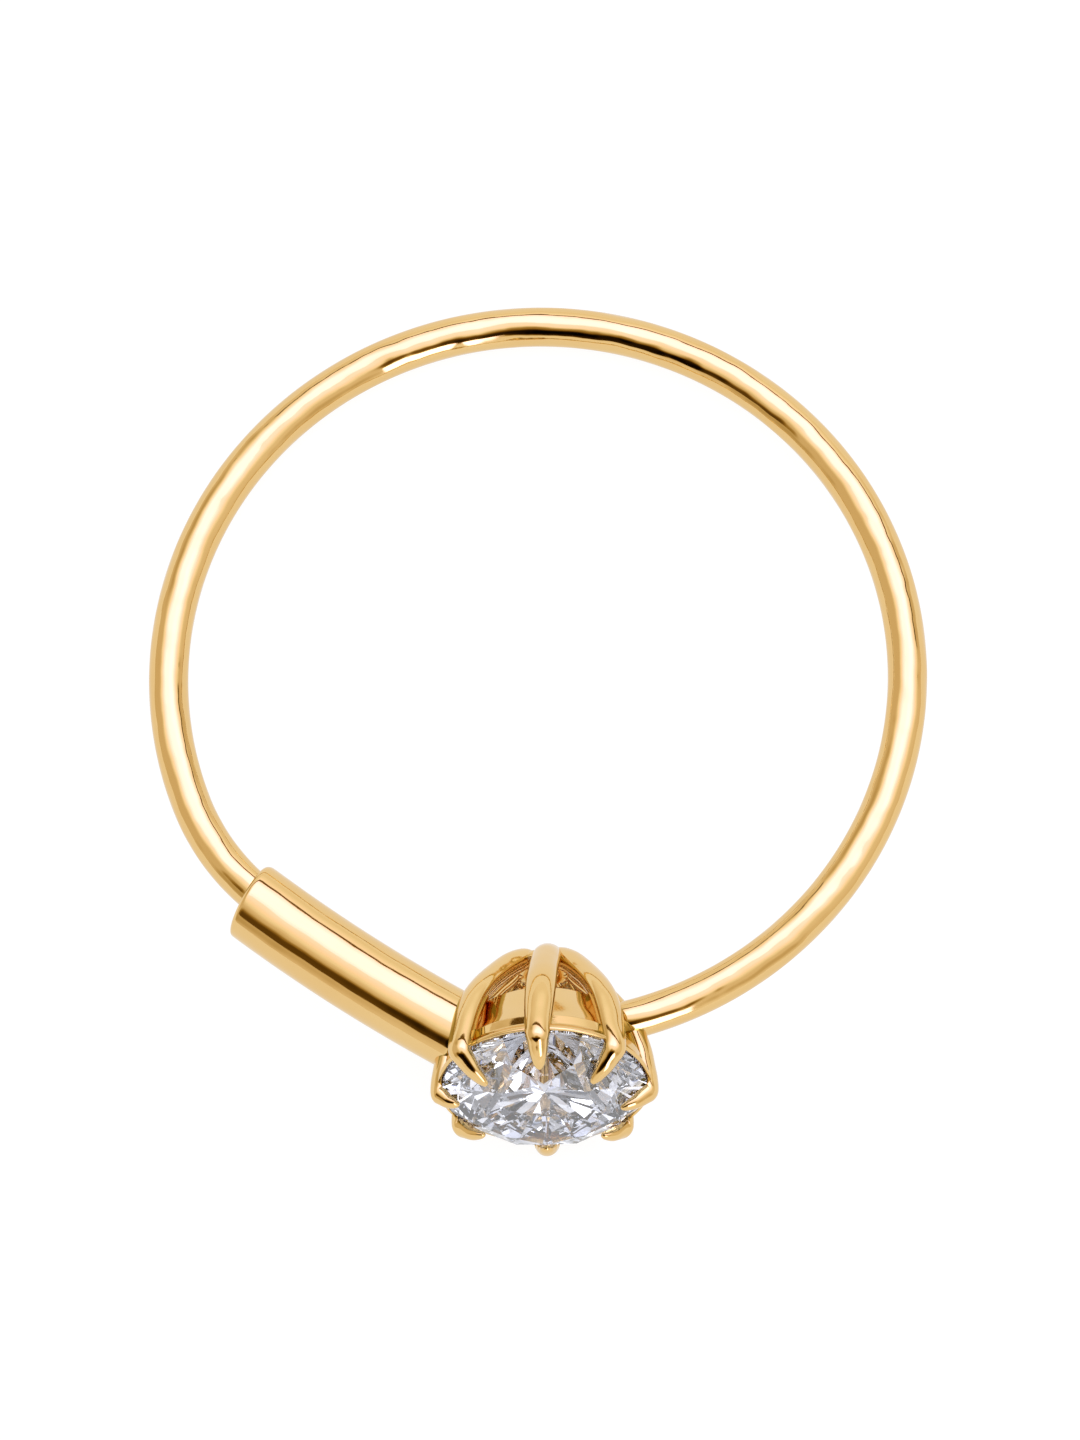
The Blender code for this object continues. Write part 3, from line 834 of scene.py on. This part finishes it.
class NOSE_RING_OT_gallery(Operator):
    """Turns the gallery band with its seat rail and lip, and the boss in which the claws meet"""

    bl_idname = "nose_ring.gallery"
    bl_label = "Gallery Band and Boss"

    def execute(self, context):
        scene = context.scene
        wire, stone, setting = scene.nose_ring_wire, scene.nose_ring_stone, scene.nose_ring_setting
        top = -setting.band_drop
        bottom = top - setting.band_height
        top_radius, bottom_radius = band_radii(stone, setting)
        rail = top_radius + setting.rail_step
        wide = stone.radius + setting.clearance
        half = stone.girdle / 2 + setting.clearance / 2
        inner = top_radius - setting.band_wall
        band = (
            (wide + 2 * setting.lip_wall - setting.clearance, setting.lip_top),
            (wide + 2 * setting.lip_wall - setting.clearance, -setting.lip_drop),
            (rail, top + setting.rail_height),
            (rail, top),
            (top_radius, top),
            (bottom_radius, bottom),
            (bottom_radius - setting.band_wall, bottom),
            (inner, top),
            (inner, -half - (wide - inner) * math.tan(stone.pavilion)),
            (wide, -half),
            (wide, setting.lip_top),
        )
        finish = gold_finish("cast_polished_gold")
        place = setting_matrix(wire, setting)
        mesh = turned_mesh("gallery", rounded_corners(band, BAND_ROUND), setting.turned, 50.0)
        show_piece("gallery", mesh, place, finish, "hoop")

        reach = stone.radius + setting.overhang
        boss = [(out * reach, -drop * setting.depth) for out, drop in BOSS]
        mesh = turned_mesh("boss", rounded_corners(boss, BOSS_ROUND, 6), setting.turned // 2, 60.0)
        show_piece("boss", mesh, place, finish, "hoop")
        return {"FINISHED"}


def facet_planes(stone, slope, inner, junction_radius):
    """Planes of one side of the brilliant, heights counted away from the girdle: (point, outward normal)."""
    step = math.pi / stone.facets
    half = stone.girdle / 2

    def at(radius, turn, height):
        return Vector((radius * math.sin(turn * step), radius * math.cos(turn * step), height))

    def main_height(radius, turn):
        return half + (stone.radius - radius * math.cos(turn * step)) * slope

    corners = []
    for number in range(stone.facets):
        main = 2 * number
        junction = at(junction_radius, main + 1, main_height(junction_radius, 1))
        low = at(stone.radius, main, half)
        high = at(stone.radius, main + 1, half)
        next_low = at(stone.radius, main + 2, half)
        inward = at(junction_radius / 2, main, main_height(junction_radius / 2, 0))
        sideways = inward + at(1.0 * MM, main + stone.facets / 2, 0.0)
        corners.append((low, inward, sideways))
        corners.append((junction, low, high))
        corners.append((junction, high, next_low))
        if inner > 0:
            here = at(inner, main, main_height(inner, 0))
            beside = at(inner, main + 2, main_height(inner, 0))
            corners.append((here, beside, junction))
    planes = []
    for a, b, c in corners:
        normal = (b - a).cross(c - a).normalized()
        planes.append((a, -normal if normal.z < 0 else normal))
    if inner > 0:
        planes.append((Vector((0.0, 0.0, main_height(inner, 0))), Vector((0.0, 0.0, 1.0))))
    return planes


# Points round the blank that the stone is cut from
BLANK_SIDES = 160


class NOSE_RING_OT_stone(Operator):
    """Cuts the round brilliant facet by facet from a turned blank"""

    bl_idname = "nose_ring.stone"
    bl_label = "Round Brilliant"

    def execute(self, context):
        scene = context.scene
        wire, stone, setting = scene.nose_ring_wire, scene.nose_ring_stone, scene.nose_ring_setting
        table = stone.table * stone.radius
        star = table + (stone.radius - table) * stone.star
        crown = facet_planes(stone, math.tan(stone.crown), table, star)
        pavilion = facet_planes(stone, math.tan(stone.pavilion), 0.0, stone.radius * (1 - stone.lower))
        blank = 2 * stone.radius
        bm = bmesh.new()
        bmesh.ops.create_cone(
            bm, cap_ends=True, segments=BLANK_SIDES,
            radius1=stone.radius, radius2=stone.radius, depth=2 * blank,
        )
        planes = crown + [(Vector((p.x, p.y, -p.z)), Vector((n.x, n.y, -n.z))) for p, n in pavilion]
        for point, normal in planes:
            geometry = bm.verts[:] + bm.edges[:] + bm.faces[:]
            cut = bmesh.ops.bisect_plane(
                bm, geom=geometry, dist=1e-9, plane_co=point, plane_no=normal, clear_outer=True,
            )
            edges = [item for item in cut["geom_cut"] if isinstance(item, bmesh.types.BMEdge)]
            if edges:
                bmesh.ops.contextual_create(bm, geom=edges)
        bmesh.ops.remove_doubles(bm, verts=bm.verts, dist=1e-7)
        bmesh.ops.recalc_face_normals(bm, faces=bm.faces)
        girdle = {face for face in bm.faces if abs(face.normal.z) < 0.05}
        for edge in bm.edges:
            edge.smooth = all(face in girdle for face in edge.link_faces)
        for face in bm.faces:
            face.smooth = True
        mesh = bpy.data.meshes.new("brilliant")
        if any(len(edge.link_faces) != 2 for edge in bm.edges):
            raise RuntimeError("the cut stone isn't closed")
        bm.to_mesh(mesh)
        bm.free()
        show_piece("brilliant", mesh, setting_matrix(wire, setting), stone_finish(), "stone")
        return {"FINISHED"}


def aim(azimuth, elevation):
    """A direction by degrees from +Y towards +X and degrees over the table."""
    a, e = math.radians(azimuth), math.radians(elevation)
    return (math.sin(a) * math.cos(e), math.cos(a) * math.cos(e), math.sin(e))


# Brightness of the room, and its soft lights.
# Columns: azimuth from +Y towards +X, elevation, full out to, gone at (degrees), brightness added
ROOM_BASE = 0.72
ROOM_LIGHTS = (
    (20.0, 66.0, 18.0, 60.0, 0.95),
    (60.0, 58.0, 0.0, 34.0, 0.7),
    (-42.0, 58.0, 0.0, 26.0, 0.5),
    (100.0, 35.0, 0.0, 65.0, 0.15),
    (10.0, 0.0, 20.0, 60.0, 0.22),
    (180.0, -5.0, 25.0, 60.0, 0.22),
)

# Dark parts of the room over the edge of its walls: the same columns, with the share of light that is left
ROOM_DARKS = (
    (-178.0, 48.0, 8.0, 21.0, 0.05),
    (-157.0, 42.0, 13.0, 25.0, 0.04),
    (-135.0, 34.0, 10.0, 24.0, 0.16),
    (-168.0, 65.0, 6.0, 22.0, 0.36),
    (158.0, 55.0, 5.0, 16.0, 0.22),
)
WALL_EDGE = (23.5, 26.5)

# Fainter shades at any height: the same columns
ROOM_SHADES = (
    (-121.0, 14.0, 4.0, 18.0, 0.75),
    (135.0, 20.0, 4.0, 18.0, 0.78),
    (-45.0, 20.0, 3.0, 16.0, 0.80),
    (61.0, 14.0, 3.0, 16.0, 0.85),
)

# Square-edged cards: azimuth, elevation, half width, half height, softness of the edge (degrees)
SOFTBOX = (12.0, 56.0, 52.0, 23.5, 1.0)
SOFTBOX_GLOW = (12.0, 58.0, 8.0, 42.0)
SOFTBOX_BRIGHTNESS = 1.5
SOFTBOX_FRAME = (18.0, 29.6, 46.0, 2.9, 0.8)
SOFTBOX_FRAME_LEFT = 0.12
WINDOW = (158.5, 25.0, 8.0, 16.0, 1.0)
WINDOW_BRIGHTNESS = 3.3

# Colour of the room by its brightness, which the ramp counts in shares of the brightest.
# The dark parts are warm, as brown wood is, and the softbox is cool at its edge, where gold goes to cream
ROOM_BRIGHTEST = 4.5
ROOM_COLOURS = (
    (0.0, "#FFB83C"), (0.33, "#FFD46E"), (0.5, "#FFE6AC"), (0.8, "#FFF4E2"), (1.0, "#FFFFFF"),
    (1.5, "#EDE4FF"), (2.0, "#DDD4FF"), (3.0, "#CFC4FF"), (4.5, "#EEEEFF"),
)

# Light that gold sends on from one bounce to the next, so that the inside of the setting stays dark
BOUNCE_LOSS = 0.3
BOUNCE_LEAST = 0.4
# What that light goes towards, so that it is a brown and not a copper
BOUNCE_TONE = "#CBFF95"

# Cool light for gold that is seen through the stone, which keeps the stone white
THROUGH_STONE = "#7FA0FF"

# What light that leaves the stone meets: this share of the room's contrast, over this base
STONE_ROOM_CONTRAST = 0.92
STONE_ROOM_BASE = -0.04


def room_world():
    """A white room seen by gloss and through the stone, and an even light for matt surfaces and the view."""
    stage = bpy.context.scene.nose_ring_stage
    world = bpy.data.worlds.new("white_room")
    world.use_nodes = True
    tree = world.node_tree
    tree.nodes.clear()
    towards = add_node(tree, "ShaderNodeTexCoord").outputs["Generated"]

    def along(direction):
        """How far the view's direction points along another, as a cosine."""
        return add_node(tree, "ShaderNodeVectorMath", (towards, direction), operation="DOT_PRODUCT")

    def faded(value, full, gone, near, far):
        """A number that goes smoothly from near at one angle in degrees to far at another."""
        full, gone = math.radians(full), math.radians(gone)
        return add_node(
            tree, "ShaderNodeMapRange",
            {"Value": value, "From Min": full, "From Max": gone, "To Min": near, "To Max": far},
            interpolation_type="SMOOTHSTEP",
        )

    def patch(azimuth, elevation, full, gone, near, far):
        """A number that is near at the middle of a round patch and far outside it."""
        off = add_node(tree, "ShaderNodeMath", (along(aim(azimuth, elevation)),), operation="ARCCOSINE")
        return faded(off, full, gone, near, far)

    def card(azimuth, elevation, half_width, half_height, soft):
        """One on a square-edged card and zero off it."""
        ahead = along(aim(azimuth, elevation))
        across = (aim(azimuth + 90.0, 0.0), half_width)
        upward = (aim(azimuth, elevation + 90.0), half_height)
        sides = []
        for side, half in (across, upward):
            off = add_node(tree, "ShaderNodeMath", (along(side), ahead), operation="ARCTAN2")
            off = add_node(tree, "ShaderNodeMath", (off,), operation="ABSOLUTE")
            sides.append(faded(off, half - soft, half + soft, 1.0, 0.0))
        return add_node(tree, "ShaderNodeMath", sides, operation="MULTIPLY")

    total = ROOM_BASE
    for row in ROOM_LIGHTS:
        total = add_node(tree, "ShaderNodeMath", (total, patch(*row, 0.0)), operation="ADD")
    glow = (patch(*SOFTBOX_GLOW, SOFTBOX_BRIGHTNESS, 0.0), card(*SOFTBOX))
    glow = add_node(tree, "ShaderNodeMath", glow, operation="MULTIPLY")
    total = add_node(tree, "ShaderNodeMath", (total, glow), operation="ADD")
    height = add_node(tree, "ShaderNodeSeparateXYZ", (towards,)).outputs["Z"]
    height = add_node(tree, "ShaderNodeMath", (height,), operation="ARCSINE")
    over_walls = faded(height, *WALL_EDGE, 0.0, 1.0)
    for row in ROOM_DARKS:
        lost = add_node(tree, "ShaderNodeMath", (1.0, patch(*row, 1.0)), operation="SUBTRACT")
        lost = add_node(tree, "ShaderNodeMath", (lost, over_walls), operation="MULTIPLY")
        left = add_node(tree, "ShaderNodeMath", (1.0, lost), operation="SUBTRACT")
        total = add_node(tree, "ShaderNodeMath", (total, left), operation="MULTIPLY")
    for row in ROOM_SHADES:
        total = add_node(tree, "ShaderNodeMath", (total, patch(*row, 1.0)), operation="MULTIPLY")
    frame_left = (card(*SOFTBOX_FRAME), SOFTBOX_FRAME_LEFT - 1.0, 1.0)
    frame_left = add_node(tree, "ShaderNodeMath", frame_left, operation="MULTIPLY_ADD")
    total = add_node(tree, "ShaderNodeMath", (total, frame_left), operation="MULTIPLY")
    total = (card(*WINDOW), WINDOW_BRIGHTNESS, total)
    total = add_node(tree, "ShaderNodeMath", total, operation="MULTIPLY_ADD")
    place = add_node(tree, "ShaderNodeMath", (total, ROOM_BRIGHTEST), operation="DIVIDE")
    ramp = add_node(tree, "ShaderNodeValToRGB", (place,))
    stops = ramp.color_ramp.elements
    for at, (brightness_there, tone) in enumerate(ROOM_COLOURS):
        stop = stops[at] if at < 2 else stops.new(brightness_there / ROOM_BRIGHTEST)
        stop.position = brightness_there / ROOM_BRIGHTEST
        stop.color = (*linear(tone), 1.0)

    path = add_node(tree, "ShaderNodeLightPath").outputs
    leaving = path["Is Transmission Ray"]
    plain = (path["Is Camera Ray"], path["Is Diffuse Ray"])
    plain = add_node(tree, "ShaderNodeMath", plain, operation="MAXIMUM")
    in_stone = add_node(tree, "ShaderNodeMath", (path["Transmission Depth"], 1.0), operation="MINIMUM")
    # Gold lit by gold gets less of the room, but not where it is seen through the stone
    deep = (path["Glossy Depth"], -BOUNCE_LOSS, 1.0 + BOUNCE_LOSS)
    deep = add_node(tree, "ShaderNodeMath", deep, operation="MULTIPLY_ADD")
    deep = add_node(tree, "ShaderNodeMath", (deep, BOUNCE_LEAST), operation="MAXIMUM")
    deep = add_node(tree, "ShaderNodeMath", (deep, 1.0), operation="MINIMUM")
    kept = add_node(tree, "ShaderNodeMath", (deep, in_stone), operation="MAXIMUM")
    kept = add_node(tree, "ShaderNodeMath", (total, kept), operation="MULTIPLY")
    # Light that comes out of the stone meets a paler room, and matt surfaces and the view an even one
    through = (total, STONE_ROOM_CONTRAST, STONE_ROOM_BASE)
    through = add_node(tree, "ShaderNodeMath", through, operation="MULTIPLY_ADD")
    seen = add_node(tree, "ShaderNodeMix", {"Factor": leaving, "A": kept, "B": through}, data_type="FLOAT")
    strength = {"Factor": plain, "A": seen, "B": stage.table_light}
    strength = add_node(tree, "ShaderNodeMix", strength, data_type="FLOAT")

    tint = ramp
    bounced = add_node(tree, "ShaderNodeMath", (1.0, deep), operation="SUBTRACT")
    unseen = add_node(tree, "ShaderNodeMath", (leaving, plain), operation="MAXIMUM")
    for factor, tone in ((bounced, BOUNCE_TONE), (in_stone, THROUGH_STONE), (unseen, "#FFFFFF")):
        tint = {"Factor": factor, "A": tint, "B": (*linear(tone), 1.0)}
        tint = add_node(tree, "ShaderNodeMix", tint, data_type="RGBA")
    sky = add_node(tree, "ShaderNodeBackground", {"Color": tint, "Strength": strength})
    add_node(tree, "ShaderNodeOutputWorld", {"Surface": sky})
    return world


class NOSE_RING_OT_stage(Operator):
    """Lays the white table and sets up the room's light and the camera"""

    bl_idname = "nose_ring.stage"
    bl_label = "Table, Light and Camera"

    def execute(self, context):
        scene = context.scene
        stage = scene.nose_ring_stage
        bm = bmesh.new()
        bmesh.ops.create_grid(bm, x_segments=8, y_segments=8, size=stage.table_width / 2)
        mesh = bpy.data.meshes.new("table")
        bm.to_mesh(mesh)
        bm.free()
        mesh.transform(Matrix.Translation((0.0, 0.0, -stage.table_drop)))
        matt, tree = new_material("white_acrylic")
        # In the gold the table is a little darker than in the view
        path = add_node(tree, "ShaderNodeLightPath").outputs
        glow = {"Factor": path["Is Camera Ray"], "A": stage.table_in_gold, "B": stage.table_glow}
        glow = add_node(tree, "ShaderNodeMix", glow, data_type="FLOAT")
        # Gold that is seen through the stone meets the same cool light here as from the room
        in_stone = add_node(tree, "ShaderNodeMath", (path["Transmission Depth"], 1.0), operation="MINIMUM")
        on_gold = (in_stone, path["Is Transmission Ray"])
        on_gold = add_node(tree, "ShaderNodeMath", on_gold, operation="SUBTRACT")
        tone = {"Factor": on_gold, "A": (1.0, 1.0, 1.0, 1.0), "B": (*linear(THROUGH_STONE), 1.0)}
        tone = add_node(tree, "ShaderNodeMix", tone, data_type="RGBA")
        shader = add_node(tree, "ShaderNodeBsdfPrincipled", {
            "Base Color": (*stage.table_colour, 1.0), "Roughness": 0.6, "Specular IOR Level": 0.1,
            "Emission Color": tone, "Emission Strength": glow,
        })
        add_node(tree, "ShaderNodeOutputMaterial", {"Surface": shader})
        mesh.materials.append(matt)
        new_object("table", mesh)

        scene.world = room_world()
        scene.view_settings.view_transform = "Standard"
        # Light goes round inside a cut stone many times before it leaves
        scene.cycles.max_bounces = 24
        scene.cycles.glossy_bounces = 16
        scene.cycles.transmission_bounces = 16

        camera = bpy.data.cameras.new("camera")
        camera.lens = stage.lens
        camera.sensor_width = stage.sensor
        camera.sensor_fit = "AUTO"
        distance = stage.view_height * stage.lens / stage.sensor
        camera.clip_start = 10 * MM
        camera.clip_end = 10.0
        a, e = stage.view_azimuth, stage.view_elevation
        back = Vector((math.sin(a) * math.cos(e), -math.cos(a) * math.cos(e), math.sin(e)))
        right = Vector((math.cos(a), math.sin(a), 0.0))
        up = back.cross(right)
        middle = REST_CENTRE + right * stage.view_right + up * stage.view_up
        holder = new_object("camera", camera)
        turn = Matrix((right, up, back)).transposed().to_4x4()
        holder.matrix_world = Matrix.Translation(middle + back * distance) @ turn
        scene.camera = holder
        return {"FINISHED"}


class NOSE_RING_PT_panel(Panel):
    """Lists the ring's pieces and their sizes"""

    bl_idname = "NOSE_RING_PT_panel"
    bl_label = "Nose Ring"
    bl_space_type = "VIEW_3D"
    bl_region_type = "UI"
    bl_category = "Nose Ring"

    def draw(self, context):
        layout = self.layout
        for operator in OPERATORS:
            layout.operator(operator.bl_idname)
        for name, group in GROUPS.items():
            box = layout.box()
            held = getattr(context.scene, name)
            for field in group.__annotations__:
                box.prop(held, field)


GROUPS = {
    "nose_ring_wire": NoseRingWire,
    "nose_ring_catch": NoseRingCatch,
    "nose_ring_stone": NoseRingStone,
    "nose_ring_setting": NoseRingSetting,
    "nose_ring_gold": NoseRingGold,
    "nose_ring_stage": NoseRingStage,
}
OPERATORS = (
    NOSE_RING_OT_wire,
    NOSE_RING_OT_catch,
    NOSE_RING_OT_claws,
    NOSE_RING_OT_gallery,
    NOSE_RING_OT_stone,
    NOSE_RING_OT_stage,
)


def register():
    for group in GROUPS.values():
        bpy.utils.register_class(group)
    for operator in OPERATORS:
        bpy.utils.register_class(operator)
    bpy.utils.register_class(NOSE_RING_PT_panel)
    for name, group in GROUPS.items():
        setattr(bpy.types.Scene, name, PointerProperty(type=group))


def unregister():
    for name in GROUPS:
        delattr(bpy.types.Scene, name)
    bpy.utils.unregister_class(NOSE_RING_PT_panel)
    for operator in reversed(OPERATORS):
        bpy.utils.unregister_class(operator)
    for group in reversed(list(GROUPS.values())):
        bpy.utils.unregister_class(group)


def main():
    register()
    bpy.ops.nose_ring.wire()
    bpy.ops.nose_ring.catch()
    bpy.ops.nose_ring.claws()
    bpy.ops.nose_ring.gallery()
    bpy.ops.nose_ring.stone()
    bpy.ops.nose_ring.stage()
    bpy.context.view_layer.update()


if __name__ == "__main__":
    main()
